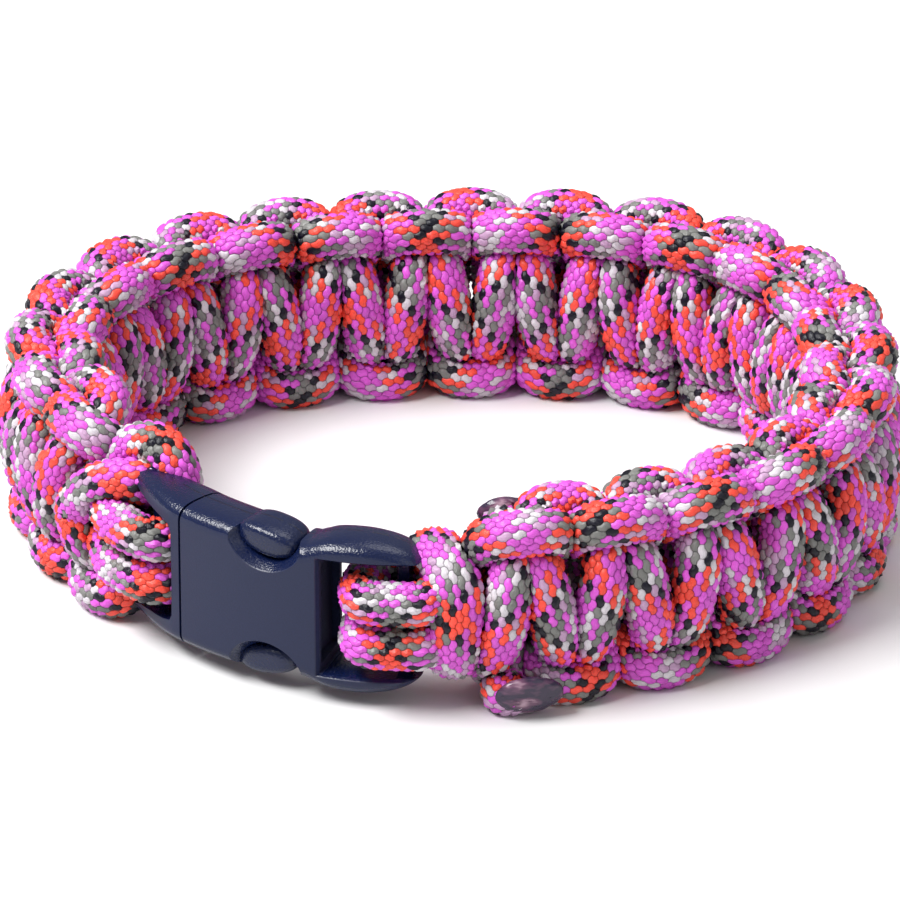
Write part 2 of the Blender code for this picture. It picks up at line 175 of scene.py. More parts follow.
# the flattened turn of cord next to the socket, from its inner side's middle
endWrap = {
    "width": 5.6,
    "thickness": 4.0,
    "turn": 0.1,
    "route": (
        (17.0, -0.5, -3.3), (16.2, 2.4, -3.5), (15.6, 4.0, -2.7), (15.9, 4.5, -1.0),
        (16.7, 4.1, 0.8), (17.3, 3.0, 2.3), (17.6, 1.1, 3.1), (17.6, -1.4, 3.3),
        (17.6, -3.6, 2.7), (17.5, -5.0, 1.4), (17.4, -5.4, -0.3), (17.3, -4.8, -2.0),
        (17.2, -3.0, -3.0),
    ),
}

# bare core cords at the buckle: the band's end, which way the bar lies, and the bar
coreLoops = {
    "socket": {"start": 16.6, "seen": 15.3, "way": -1, "bar": 12.9, "turn": 3.1},
    "plug": {"start": -21.8, "seen": -18.8, "way": 1, "bar": -14.35, "turn": 2.35},
    "across": 2.2,
    "startShare": 0.9,   # inside the band a loop lies closer to the middle, lower and deeper
    "startDrop": 0.3,
    "startOut": 1.6,
    "rise": 0.25,        # it comes down to the bar's height and out to its run
    "firstDip": 0.7,
    "lastDip": 0.1,
    "runOut": 3.4,
    "roundShare": 0.71,
    "turns": {"Upper": 0.27, "Lower": 0.54},
}


def curveThrough(points, closed=False, steps=8):
    # a smooth curve through the points
    points = np.array(points, float)
    if closed:
        ends = np.vstack([points[-1:], points, points[:2]])
    else:
        ends = np.vstack([2 * points[0] - points[1], points, 2 * points[-1] - points[-2]])
    t = np.linspace(0, 1, steps, endpoint=False)[:, None]
    way = [
        b + 0.5 * t * (c - a) + t * t * (a - 2.5 * b + 2 * c - 0.5 * d) + 0.5 * t**3 * (3 * b - a - 3 * c + d)
        for a, b, c, d in zip(ends, ends[1:], ends[2:], ends[3:])
    ]
    return np.vstack(way) if closed else np.vstack([*way, points[-1:]])


def lengthsAlong(rows):
    return np.concatenate([[0], np.cumsum(np.linalg.norm(np.diff(rows, axis=0), axis=1))])


def evenRows(places):
    # the route in the world, in millimetres, with four rows to a stitch. A bend takes more of
    # them, so that the stitches on its outer side aren't stretched
    world = bend(places) / mm
    arc = lengthsAlong(world)
    perMillimetre, window = 4, 9
    fine = np.linspace(0, arc[-1], round(arc[-1] * perMillimetre))
    world = np.stack([np.interp(fine, arc, world[:, i]) for i in range(3)], axis=1)
    tangents = np.gradient(world, fine, axis=0)
    bending = np.linalg.norm(np.gradient(tangents, fine, axis=0), axis=1)
    padded = np.pad(bending, window // 2, mode="edge")
    bending = np.convolve(padded, np.full(window, 1 / window), mode="valid")
    steps = np.diff(fine) * np.clip(1 + cord["outerSide"] * bending, 1, cord["mostRows"])[1:]
    arc = np.concatenate([[0], np.cumsum(steps)])
    rows = 4 * round(arc[-1] / cord["stitch"])
    at = np.linspace(0, arc[-1], rows + 1)
    return np.stack([np.interp(at, arc, world[:, i]) for i in range(3)], axis=1)


def spread(along):
    return along + band["spread"] * math.exp(-abs(along - band["firstKnot"]) / (band["knotPitch"] / 2))


def strandPoints(strand):
    # each crossing is two quarters, the second one turned over
    face = strand["face"]
    half = band["knotPitch"] / 2
    reach = loop["bandWidth"] / 2 + band["proud"] - cord["swell"] / 2
    height = loop["bandThickness"] / 2 - cord["thickness"] / 2
    rows = [(a * half, c * reach, o * height) for a, c, o in band["quarter"]]
    points = list(strand["start"])
    crossings = band["crossings"] - strand["missed"]
    for crossing in range(crossings):
        place = band["firstKnot"] + crossing * half
        side = 1 if crossing % 2 == 0 else -1
        before = [(-a, c, o) for a, c, o in reversed(rows)]
        after = [(a, -c, o) for a, c, o in rows[1:-1]]
        if crossing == 0:
            before = before[strand["firstRow"]:]
        if crossing == crossings - 1:
            after = after[:strand["lastRow"]]
        points += [(spread(place + a), side * face * c, face * o) for a, c, o in before + after]
    return points + list(strand["stop"])


def coreLoopPoints(end, side):
    # from the band over the bar, through the buckle's slot and back under the bar
    way, turn = end["way"], end["turn"]
    barWidth, barHalf = buckle["barWidth"], buckle["barHalf"]
    edge = end["bar"] + way * barWidth / 2
    across = side * coreLoops["across"]
    low = across - buckle["drop"]
    runOut, part = coreLoops["runOut"], coreLoops["roundShare"]
    over = [
        (end["start"], across * coreLoops["startShare"] - coreLoops["startDrop"], coreLoops["startOut"]),
        (end["seen"], low + coreLoops["rise"], runOut - coreLoops["firstDip"]),
        ((end["seen"] * 2 + edge) / 3, low, runOut - coreLoops["lastDip"]),
        (edge - way * barWidth, low, runOut),
        (edge, low, runOut),
        (edge + way * turn * part, low, barHalf + turn * part),
        (edge + way * turn, low, barHalf),
    ]
    return over + [(a, c, -o) for a, c, o in reversed(over)]


def makeRoutes():
    centres = {}
    for name, strand in strands.items():
        centres[name] = evenRows(curveThrough(strandPoints(strand)))
    ring = curveThrough(endWrap["route"], closed=True)
    centres["endWrap"] = evenRows(np.vstack([ring, ring[:1]]))
    for place in ("socket", "plug"):
        for name, side in sides.items():
            points = coreLoopPoints(coreLoops[place], side)
            centres[place + "Loop" + name] = evenRows(curveThrough(points))
    # the core cords inside the band only press on the others
    along = np.arange(band["start"] + band["coreStart"], band["stop"] - band["coreStop"], band["coreStep"])
    for name, side in sides.items():
        places = np.stack([along, np.full_like(along, side * coreLoops["across"]), 0 * along], axis=1)
        centres["core" + name] = bend(places) / mm
    return centres


def makeTree(centres):
    # every route's points, to see what presses on what
    tree = KDTree(sum(len(rows) for rows in centres.values()))
    owner, place = [], []
    for name, rows in centres.items():
        for point, at in zip(rows, lengthsAlong(rows)):
            tree.insert(Vector(point), len(owner))
            owner.append(name)
            place.append(at)
    tree.balance()
    return {"tree": tree, "owner": owner, "place": place}


# cords: a skin has four rows of corners to a stitch, and two columns of them

def carriedFrames(centres):
    # a normal that turns as little as it can along the way, and its partner
    tangents = np.gradient(centres, axis=0)
    if np.allclose(centres[0], centres[-1]):
        tangents[0] = tangents[-1] = centres[1] - centres[-2]
    tangents /= np.linalg.norm(tangents, axis=1)[:, None]
    normals = np.zeros_like(centres)
    firstSide = (0.3, 0.2, 1.0)
    normal = np.cross(tangents[0], firstSide)
    for i, tangent in enumerate(tangents):
        normal = normal - tangent * float(normal @ tangent)
        normal /= math.sqrt(float(normal @ normal))
        normals[i] = normal
    return normals, np.cross(tangents, normals)


def ovalRadii(centres, directions, wide, thin):
    # wide along the loop and thin away from it, one value for each row
    x, y, outX, outY = loopLine[1:]
    nearest = [int(np.argmin((x - c[0]) ** 2 + (y - c[1]) ** 2)) for c in centres]
    alongWay = np.stack([-outY[nearest], outX[nearest], np.zeros(len(centres))], axis=1)
    share = (directions * alongWay[:, None]).sum(axis=2)
    wide, thin = wide[:, None], thin[:, None]
    return 1 / np.sqrt((share / wide) ** 2 + (1 - share**2) / thin**2)


def pressedRadii(name, centres, directions, radii, presses):
    # each cord is as thick as its neighbours let it be: halfway to the next cord's middle
    arc = lengthsAlong(centres)
    closed = np.allclose(centres[0], centres[-1])
    nearby = cord["swell"] * 1.15
    sideways, unpressed = 0.05, 9.0
    for row, centre in enumerate(centres):
        near = []
        for point, index, gap in presses["tree"].find_range(Vector(centre), nearby):
            if name == "endWrap" and "Loop" in presses["owner"][index]:
                continue
            if presses["owner"][index] == name:
                apart = abs(presses["place"][index] - arc[row])
                apart = min(apart, arc[-1] - apart) if closed else apart
                if apart < cord["ownLength"]:
                    continue
            near.append(point)
        if not near:
            continue
        away = np.array(near) - centre
        facing = directions[row] @ away.T
        halfway = (away**2).sum(axis=1) / 2 / np.maximum(facing, sideways)
        limit = np.where(facing > sideways, halfway, unpressed)
        radii[row] = np.minimum(radii[row], limit.min(axis=1))
    for i in range(2):
        radii[1:-1] = (radii[:-2] + 2 * radii[1:-1] + radii[2:]) / 4
        radii = (np.roll(radii, 1, axis=1) + 2 * radii + np.roll(radii, -1, axis=1)) / 4
    if closed:
        radii[0] = radii[-1]
    return np.maximum(radii, cord["thickness"] * cord["thinnest"])


def cordSkin(name, turn, wide, thin):
    # the cord's surface: a ring of corners for each row, with the braid's relief
    middles = centres[name]
    columns = cord["columns"] * 2
    normals, partners = carriedFrames(middles)
    m, n = np.meshgrid(np.arange(columns), np.arange(len(middles)))
    # even columns run along the stitches' middles, odd ones zigzag along their edges
    edge, other = m % 2 == 1, (m // 2) % 2
    phase = math.pi / 2 * (n + 2 * other)
    place = m + np.where(edge, cord["waist"] * np.cos(phase), 0) + cord["slant"] * np.sin(math.pi / 2 * n)
    angle = 2 * math.pi * (place / columns + turn)
    directions = normals[:, None] * np.cos(angle)[..., None] + partners[:, None] * np.sin(angle)[..., None]
    radii = ovalRadii(middles, directions, wide, thin)
    radii = pressedRadii(name, middles, directions, radii, presses)
    height = np.where(edge, 0.0, np.array(cord["heights"])[(n + 2 * other) % 4])
    radii = radii + cord["relief"] * (height - cord["meanHeight"])
    skin = middles[:, None] + directions * radii[..., None]
    skin[..., 2] = np.maximum(skin[..., 2], floorGap)
    return skin


def cordPiece(name, skin, first=0):
    # a grid is rolled up into the skin
    rows, columns = len(skin), cord["columns"] * 2
    mesh = bmesh.new()
    mesh.loops.layers.uv.new("yarn")
    bmesh.ops.create_grid(mesh, x_segments=columns, y_segments=rows - 1, size=1, calc_uvs=True)
    data = bpy.data.meshes.new(name)
    mesh.to_mesh(data)
    mesh.free()
    flat = np.zeros(len(data.vertices) * 3)
    data.vertices.foreach_get("co", flat)
    grid = flat.reshape(-1, 3)
    column = np.rint((grid[:, 0] + 1) / 2 * columns).astype(int)
    row = np.rint((grid[:, 1] + 1) / 2 * (rows - 1)).astype(int)
    data.vertices.foreach_set("co", (skin[row, column % columns] * mm).ravel())
    data.update()
    paintYarns(data, rows, first)
    mesh = bmesh.new()
    mesh.from_mesh(data)
    bmesh.ops.remove_doubles(mesh, verts=mesh.verts, dist=0.001 * mm)
    bmesh.ops.holes_fill(mesh, edges=[e for e in mesh.edges if e.is_boundary], sides=0)
    bmesh.ops.recalc_face_normals(mesh, faces=mesh.faces)
    mesh.to_mesh(data)
    mesh.free()
    data.shade_smooth()
    data.set_sharp_from_angle(angle=math.radians(cord["sharpAngle"]))
    return finished(name, data, "sheath")


# the sheath's yarns, in order round the cord, each way
yarns = {
    "pink": (0.66, 0.095, 0.60),
    "coral": (0.86, 0.07, 0.045),
    "grey": (0.18, 0.18, 0.17),
    "white": (0.56, 0.52, 0.56),
    "black": (0.0015, 0.001, 0.008),
}
yarnOrder = (
    ("pink", "pink", "pink", "coral", "coral", "black", "grey", "grey", "white", "white"),
    ("pink", "white", "white", "pink", "pink", "coral", "coral", "black", "grey", "pink"),
)
stitchTone = {
    "darkest": 0.86,
    "range": 0.26,
    "whiteFrom": 0.4,    # a yarn whose weakest colour is over this is a white one
    "tintedShare": 0.4,  # and this share of its stitches is tinted
    "tint": (0.94, 0.62, 0.90),
}


def chance(column, row):
    # a number from 0 to 1 for each stitch, the same each run
    seed = np.sin(column * 12.9898 + row * 78.233) * 43758.5453
    return seed - np.floor(seed)


def paintYarns(data, rows, first):
    # gives each face the colour of its yarn, and lays the stitch's own map on it
    columns = cord["columns"] * 2
    uv = np.zeros(len(data.loops) * 2, np.float32)
    data.uv_layers["yarn"].uv.foreach_get("vector", uv)
    uv = uv.reshape(-1, 4, 2).astype(float)
    m, n = np.rint(uv[..., 0] * columns), np.rint(uv[..., 1] * (rows - 1)) + first
    stitchColumn = (m.min(axis=1) + 1) // 2
    onFirst = stitchColumn % 2 == 0
    stitchRow = np.where(onFirst, (n.min(axis=1) + 2) // 4, n.min(axis=1) // 4 + 0.5)
    # the yarns of one way climb as they go round, those of the other way sink
    yarn = np.where(onFirst, stitchColumn / 2 - stitchRow, stitchColumn / 2 + stitchRow).astype(int)
    chosen = [np.array([yarns[word] for word in order])[yarn % len(order)] for order in yarnOrder]
    shade = np.where(onFirst[:, None], *chosen)
    tone = chance(stitchColumn % cord["columns"], stitchRow)
    shade = shade * (stitchTone["darkest"] + stitchTone["range"] * tone)[:, None]
    tinted = (shade.min(axis=1) > stitchTone["whiteFrom"]) & (tone < stitchTone["tintedShare"])
    shade[tinted] *= stitchTone["tint"]
    corner = np.ones((len(shade), 4, 4), np.float32)
    corner[..., :3] = shade[:, None]
    attribute = data.color_attributes.new("yarnColour", "FLOAT_COLOR", "CORNER")
    attribute.data.foreach_set("color", corner.ravel())
    # across a stitch the map runs from 1 to 3, past a whole number of fours that sets its
    # filaments apart from those of other stitches, and along it from -1 to 1
    across, along = m - 2 * stitchColumn[:, None], (n - 4 * stitchRow[:, None]) / 2
    own = np.stack([across + 2 + 4 * np.floor(tone * 50)[:, None], along], axis=2)
    data.uv_layers["yarn"].uv.foreach_set("vector", own.astype(np.float32).ravel())


def finished(name, data, material):
    piece = bpy.data.objects.new(name, data)
    bpy.context.scene.collection.objects.link(piece)
    data.materials.append(materials[material])
    print(name, len(data.polygons))
    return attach(piece, "root")


# a strand's radii at its cut end, and over how many rows they grow to the cord's own
cutEnd = {"wide": 2.7, "thin": 1.35, "rows": 14}


def makeStrands():
    # each strand is made as three pieces, which meet at whole stitches
    for name, strand in strands.items():
        rows = len(centres[name])
        wide = np.full(rows, cord["swell"] / 2)
        thin = wide.copy()
        near = np.clip(1 - np.arange(rows) / cutEnd["rows"], 0, 1)
        wide += (cutEnd["wide"] - wide) * near
        thin += (cutEnd["thin"] - thin) * near
        skin = cordSkin(name, strand["turn"], wide, thin)
        third = rows // 12 * 4
        parts = {"Start": (0, third), "Middle": (third, 2 * third), "End": (2 * third, rows - 1)}
        for part, (start, stop) in parts.items():
            piece = cordPiece(name + part, skin[start:stop + 1], start)
            if piece.name == "outerStrandStart":
                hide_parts("woven_band")


def makeEndWrap():
    rows = len(centres["endWrap"])
    wide = np.full(rows, endWrap["width"] / 2)
    thin = np.full(rows, endWrap["thickness"] / 2)
    piece = cordPiece("endWrap", cordSkin("endWrap", endWrap["turn"], wide, thin))


def makeCoreLoops():
    for place in ("socket", "plug"):
        for side, turn in coreLoops["turns"].items():
            name = place + "Loop" + side
            even = np.full(len(centres[name]), cord["thickness"] / 2)
            piece = cordPiece(name, cordSkin(name, turn, even, even))
            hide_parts(f"{place}_cord_{side.lower()}")


# the buckle, made straight in millimetres and then bent round the loop

buckle = {
    "drop": 0.9,         # it hangs this far below the band's middle
    "half": loop["buckleThickness"] / 2,
    "edge": 1.5,         # how far in from the outline its rounded edge reaches
    "edgePower": 1.6,
    "edgeTurns": (14, 27, 39, 49, 57, 64, 71, 78, 84, 90),
    "edgeFlat": 0.1,
    "backShare": 0.24,   # the wrist's side is rounded off by this share more
    "parting": -8.02,    # between plug and socket
    "gap": 0.26,
    "slot": (5.9, 5.75),            # where it starts, half its height
    "chamfer": (0.3, 0.4),          # round the slot: width, depth
    "pocket": (0.9, 5.0, 2.5),      # in the slot's wall: depth, half height, half thickness
    # the hollow behind the mouth: half its height and thickness are its reach and half
    "cavityLength": 12.6,
    "cavityReach": 5.4,
    "cavityHalf": 1.9,
    "barWidth": 1.5,
    "barReach": 6.5,     # half its height
    "barHalf": 1.05,     # half its thickness
    "barInset": 0.3,
    "scoop": (0.95, 7.3, 2.95),     # the finger cut's middle, along and across, and radius
    "scoopBevel": 0.8,
    "scoopHeights": (0.52, 0.72),   # where its bevel starts and steepens, as shares of half
    "scoopStep": 0.25,
    "scoopSides": 48,
    # the upper half of the mid outline: along and across, from the left to the right
    "outline": (
        (-19.0, 2.0), (-19.0, 5.0), (-18.4, 6.6), (-17.0, 7.25), (-14.5, 7.4), (-11.0, 7.3),
        (-7.9, 7.2), (-3.0, 7.2), (1.5, 7.05), (4.0, 6.75), (5.1, 7.05), (6.4, 7.5), (8.2, 7.7),
        (10.2, 7.65), (12.3, 7.25), (13.9, 6.5), (14.9, 5.3), (15.25, 3.6), (15.25, 1.2),
    ),
    # the plug's slot runs out into its two horns
    "hornSlot": (
        (-9.1, 1.5), (-9.15, 4.3), (-9.5, 4.9), (-10.6, 5.2), (-12.8, 5.5), (-15.0, 5.9),
        (-16.6, 6.35), (-17.3, 6.8), (-17.1, 7.4), (-16.8, 9.5), (-20.5, 9.5), (-20.5, 1.5),
    ),
    # both ends grow thinner: from where, over what length, how bluntly, and what is left
    "thinFrom": 9.0,
    "horns": (6.6, 1.3, 0.56),
    "socketEnd": (6.2, 1.5, 0.80),
    "bendStep": 0.9,     # it is cut across this often, to bend smoothly
    "sharpAngle": 34,
}

# the plug's parts inside the socket
prongs = {
    "clearance": 0.3,
    "root": 0.6,         # how deep they start in the plug
    "guideHalf": 1.1,
    "innerEdge": 2.1,    # from the cavity's wall to a prong's inner edge
    "pastScoop": 2.0,
    "edge": 0.2,
}

button = {
    "middle": (0.55, 6.2),
    "reach": 3.0,
    "outerShare": 0.42,  # its height out of the scoop, and into it, as shares of its reach
    "innerShare": 0.58,
    "corner": 2.3,       # 2 would be an oval, more is squarer
    "faceOut": 0.35,
    "halfThickness": 2.3,
    "faceFlatness": 0.45,
    "sideFlatness": 0.55,
    "slope": 0.13,
}

# cutters pass the whole buckle: along, across and out
cutter = {"along": 30, "across": 12, "out": 9, "slotEnd": 25}
hair = 0.001             # how far a straight-sided solid's outline comes in or goes out


def mirroredOutline(half):
    return list(half) + [(along, -across) for along, across in reversed(half)]


def plate(outline, stations):
    # a flat outline grows to both sides: how far in it has come, and how far out
    mesh = bmesh.new()
    face = mesh.faces.new([mesh.verts.new((along, across, 0)) for along, across in outline])
    mesh.normal_update()
    if face.normal.z < 0:
        bmesh.ops.reverse_faces(mesh, faces=[face])
    inset, out = 0.0, 0.0
    for nextInset, nextOut in stations:
        mesh.normal_update()
        bmesh.ops.inset_region(
            mesh, faces=[face], thickness=nextInset - inset, depth=nextOut - out,
            use_boundary=True, use_even_offset=True,
        )
        inset, out = nextInset, nextOut
    everything = mesh.verts[:] + mesh.edges[:] + mesh.faces[:]
    bmesh.ops.mirror(mesh, geom=everything, axis="Z", merge_dist=0.001)
    bmesh.ops.recalc_face_normals(mesh, faces=mesh.faces)
    return mesh


def roundEdge():
    edge, power, half = buckle["edge"], buckle["edgePower"], buckle["half"]
    turns = [math.radians(turn) for turn in buckle["edgeTurns"]]
    rings = [(edge * (1 - math.cos(t)) ** power, half * math.sin(t)) for t in turns]
    return rings + [(edge + buckle["edgeFlat"], half)]


def rectangle(low, high):
    return [(low[0], low[1]), (high[0], low[1]), (high[0], high[1]), (low[0], high[1])]


def circle(along, across, radius, count):
    turns = [2 * math.pi * i / count for i in range(count)]
    return [(along + radius * math.cos(t), across + radius * math.sin(t)) for t in turns]


def block(low, high, half):
    # a box between two corners, as thick as half says to both sides
    return plate(rectangle(low, high), [(hair, half)])


def carved(base, tools, operation):
    # cuts or joins straight solids, given as bmeshes, and returns one bmesh
    made = []
    for mesh in [base, *tools]:
        data = bpy.data.meshes.new("work")
        mesh.to_mesh(data)
        mesh.free()
        thing = bpy.data.objects.new("work", data)
        bpy.context.scene.collection.objects.link(thing)
        made.append(thing)
    for tool in made[1:]:
        boolean = made[0].modifiers.new("boolean", "BOOLEAN")
        boolean.operation = operation
        boolean.object = tool
    bpy.context.view_layer.update()
    evaluated = made[0].evaluated_get(bpy.context.evaluated_depsgraph_get())
    result = bmesh.new()
    result.from_mesh(evaluated.to_mesh())
    for thing in made:
        bpy.data.objects.remove(thing)
    return result


def thinned(along):
    # what is left of the thickness at each place
    share = 1
    for way, end in ((-1, "horns"), (1, "socketEnd")):
        length, power, left = buckle[end]
        share = share - (1 - left) * np.clip((way * along - buckle["thinFrom"]) / length, 0, 1) ** power
    return share


def bentPiece(name, mesh):
    # cuts the solid across, thins it towards both ends and bends it round the loop
    alongs = [v.co.x for v in mesh.verts]
    low, high = min(alongs), max(alongs)
    cuts = round((high - low) / buckle["bendStep"])
    for cut in range(1, cuts):
        everything = mesh.verts[:] + mesh.edges[:] + mesh.faces[:]
        place = (low + (high - low) * cut / cuts, 0, 0)
        bmesh.ops.bisect_plane(mesh, geom=everything, plane_co=place, plane_no=(1, 0, 0))
    bmesh.ops.triangulate(mesh, faces=[f for f in mesh.faces if len(f.verts) > 4])
    bmesh.ops.remove_doubles(mesh, verts=mesh.verts, dist=0.004)
    bmesh.ops.recalc_face_normals(mesh, faces=mesh.faces)
    data = bpy.data.meshes.new(name)
    mesh.to_mesh(data)
    mesh.free()
    flat = np.zeros(len(data.vertices) * 3)
    data.vertices.foreach_get("co", flat)
    places = flat.reshape(-1, 3)
    # the straight solid's places are kept for the material
    straight = data.attributes.new("straight", "FLOAT_VECTOR", "POINT")
    straight.data.foreach_set("vector", places.astype(np.float32).ravel())
    places[:, 2] *= thinned(places[:, 0])
    places[:, 1] -= buckle["drop"]
    data.vertices.foreach_set("co", bend(places).ravel())
    data.update()
    data.shade_smooth()
    data.set_sharp_from_angle(angle=math.radians(buckle["sharpAngle"]))
    return finished(name, data, "buckle")


def blank():
    # plug and socket are cut from this one body
    mesh = plate(mirroredOutline([tuple(p) for p in curveThrough(buckle["outline"])]), roundEdge())
    for vert in mesh.verts:
        depth = min(max(-vert.co.z / buckle["half"], 0), 1)
        vert.co.y *= 1 - buckle["backShare"] * (1 - math.sqrt(1 - depth**2))
    return mesh


def bar(place):
    halfWidth, reach = buckle["barWidth"] / 2, buckle["barReach"]
    outline = rectangle((place - halfWidth, -reach), (place + halfWidth, reach))
    return plate(outline, [(buckle["barInset"], buckle["barHalf"])])


def slotCut():
    start, reach = buckle["slot"]
    width, depth = buckle["chamfer"]
    half = buckle["half"]
    outline = rectangle((start, -reach), (cutter["slotEnd"], reach))
    return plate(outline, [(hair, half - depth), (-width, half + 0.05), (-width - hair, half * 2)])


def scoopCut(side):
    along, across, radius = buckle["scoop"]
    half, bevel = buckle["half"], buckle["scoopBevel"]
    low, high = buckle["scoopHeights"]
    rings = [
        (hair, half * low),
        (-bevel * buckle["scoopStep"], half * high),
        (-bevel, half + 0.05),
        (-bevel - hair, half * 2),
    ]
    return plate(circle(along, side * across, radius, buckle["scoopSides"]), rings)


def socketPiece():
    mouth = buckle["parting"] + buckle["gap"] / 2
    slotStart = buckle["slot"][0]
    reach, inner = buckle["cavityReach"], buckle["cavityHalf"]
    deep, pocketReach, pocketHalf = buckle["pocket"]
    cuts = [
        block((-cutter["along"], -cutter["across"]), (mouth, cutter["across"]), cutter["out"]),
        slotCut(),
        block((mouth - 2, -reach), (mouth + buckle["cavityLength"], reach), inner),
        block((slotStart - deep, -pocketReach), (slotStart + 1, pocketReach), pocketHalf),
        scoopCut(1),
        scoopCut(-1),
    ]
    mesh = carved(blank(), cuts, "DIFFERENCE")
    mesh = carved(mesh, [bar(coreLoops["socket"]["bar"])], "UNION")
    return bentPiece("buckleSocket", mesh)


def plugPiece():
    face = buckle["parting"] - buckle["gap"] / 2
    cuts = [
        block((face, -cutter["across"]), (cutter["along"], cutter["across"]), cutter["out"]),
        plate(mirroredOutline(buckle["hornSlot"]), [(hair, buckle["half"] * 2)]),
    ]
    mesh = carved(blank(), cuts, "DIFFERENCE")
    reach, clearance = buckle["cavityReach"], prongs["clearance"]
    rings = [(prongs["edge"], buckle["cavityHalf"] - clearance)]
    root, scoop, guide = face - prongs["root"], buckle["scoop"][0], prongs["guideHalf"]
    joined = [
        bar(coreLoops["plug"]["bar"]),
        plate(rectangle((root, -guide), (scoop, guide)), rings),
    ]
    for side in (1, -1):
        edges = sorted((side * (reach - clearance), side * (reach - prongs["innerEdge"])))
        joined.append(plate(rectangle((root, edges[0]), (scoop + prongs["pastScoop"], edges[1])), rings))
    mesh = carved(mesh, joined, "UNION")
    return bentPiece("bucklePlug", mesh)


def buttonPiece(name, side):
    # a lens that fills the scoop, from a ball: flat faces, full edges and two rounded tips
    along, across = button["middle"]
    reach, corner = button["reach"], button["corner"]
    mesh = bmesh.new()
    bmesh.ops.create_uvsphere(mesh, u_segments=64, v_segments=24, radius=1)
    for vert in mesh.verts:
        turn = math.atan2(vert.co.y, vert.co.x)
        flat = math.hypot(vert.co.x, vert.co.y) ** button["sideFlatness"]
        tall = reach * (button["innerShare"] if turn < 0 else button["outerShare"])
        size = (abs(math.cos(turn) / reach) ** corner + abs(math.sin(turn) / tall) ** corner) ** (-1 / corner)
        depth = math.copysign(abs(vert.co.z) ** button["faceFlatness"], vert.co.z)
        right, up = math.cos(turn) * size * flat, math.sin(turn) * size * flat
        vert.co = (
            along + right,
            side * (across + up - button["slope"] * right),
            button["faceOut"] + button["halfThickness"] * depth,
        )
    return bentPiece(name, mesh)


def makeBuckle():
    socketPiece()
    plugPiece()
    for name, side in (("buttonUpper", 1), ("buttonLower", -1)):
        buttonPiece(name, side)
    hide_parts("buckle_socket")
    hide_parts("buckle_plug")


# the melted ends' places, and how far each is settled from there
melts = {
    "meltUpper": {"place": (22.83, 7.7, -5.0), "moved": (0.0, -0.8, 0.7), "taller": 1.1},
    "meltLower": {"place": (23.28, -7.7, 5.15), "moved": (0.0, 0.45, 0.1), "taller": 1.3},
}
# the lumps' waves: how long, and how high
meltWaves = ((1.3, 0.16), (0.5, 0.05))


def meltedPiece(name, node):
    # the frame's plain lump, made finer, with an uneven face and rim, and settled on its cord
    melt = melts[name]
    place = Vector(bend([melt["place"]])[0])
    shift = Vector(bend([np.add(melt["place"], melt["moved"])])[0]) - place
    mesh = bmesh.new()
    mesh.from_mesh(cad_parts[node].data)
    bmesh.ops.remove_doubles(mesh, verts=mesh.verts, dist=0.01 * mm)
    data = bpy.data.meshes.new(name)
    mesh.to_mesh(data)
    mesh.free()
    piece = finished(name, data, "melt")
    finer = piece.modifiers.new("finer", "SUBSURF")
    finer.levels = finer.render_levels = 2
    bpy.context.view_layer.update()
    evaluated = piece.evaluated_get(bpy.context.evaluated_depsgraph_get())
    smooth = bpy.data.meshes.new_from_object(evaluated)
    piece.modifiers.clear()
    piece.data = smooth
    for vert in smooth.vertices:
        wobble = sum(noise.noise(vert.co / (length * mm)) * height for length, height in meltWaves)
        vert.co.z += (vert.co.z - place.z) * (melt["taller"] - 1)
        vert.co += vert.normal * wobble * mm + shift
        vert.co.z = max(vert.co.z, floorGap * mm)
    smooth.shade_smooth()
    return piece


def makeMelts():
    for name, node in (("meltUpper", "melted_end_upper"), ("meltLower", "melted_end_lower")):
        piece = meltedPiece(name, node)
        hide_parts(node)


# materials: a range is from low to high, and what these become

def newMaterial(name):
    material = bpy.data.materials.new(name)
    material.use_nodes = True
    tree = material.node_tree
    tree.nodes.clear()
    output = tree.nodes.new("ShaderNodeOutputMaterial")
    shader = tree.nodes.new("ShaderNodeBsdfPrincipled")
    tree.links.new(shader.outputs[0], output.inputs[0])
    return material, tree, shader


def mathNode(tree, operation, first, second=None):
    node = tree.nodes.new("ShaderNodeMath")
    node.operation = operation
    for socket, value in zip(node.inputs, (first, second)):
        if isinstance(value, (int, float)):
            socket.default_value = value
        elif value is not None:
            tree.links.new(value, socket)
    return node.outputs[0]


def rangeNode(tree, value, low, high, lowTo, highTo):
    node = tree.nodes.new("ShaderNodeMapRange")
    tree.links.new(value, node.inputs[0])
    for socket, number in zip(list(node.inputs)[1:5], (low, high, lowTo, highTo)):
        socket.default_value = number
    return node.outputs[0]


def noiseNode(tree, vector, scale, detail):
    node = tree.nodes.new("ShaderNodeTexNoise")
    node.inputs["Scale"].default_value = scale
    node.inputs["Detail"].default_value = detail
    tree.links.new(vector, node.inputs["Vector"])
    return node.outputs[0]


def mappingNode(tree, vector, scale):
    node = tree.nodes.new("ShaderNodeMapping")
    node.inputs["Scale"].default_value = scale
    tree.links.new(vector, node.inputs[0])
    return node.outputs[0]


def bumpNode(tree, height, strength, distance, shader):
    node = tree.nodes.new("ShaderNodeBump")
    node.inputs["Strength"].default_value = strength
    node.inputs["Distance"].default_value = distance * mm
    tree.links.new(height, node.inputs["Height"])
    tree.links.new(node.outputs[0], shader.inputs["Normal"])


sheathLook = {
    "filaments": (5.0, 1.2, 1.0),         # finer across a stitch than along it
    "filamentTone": (0.25, 0.75, 0.84, 1.16),
    "filamentHeight": 0.25,
    "paintedShadeAndHighlight": (0.04, 0.5, 0.32, 1.06),    # painted shade: from the stitch's height to how dark its colour is painted, darkest at its edges and a little lighter in its middle as a painted highlight
    "bump": (0.8, 0.22),
    "roughness": 0.35,
    "specular": 0.38,
}


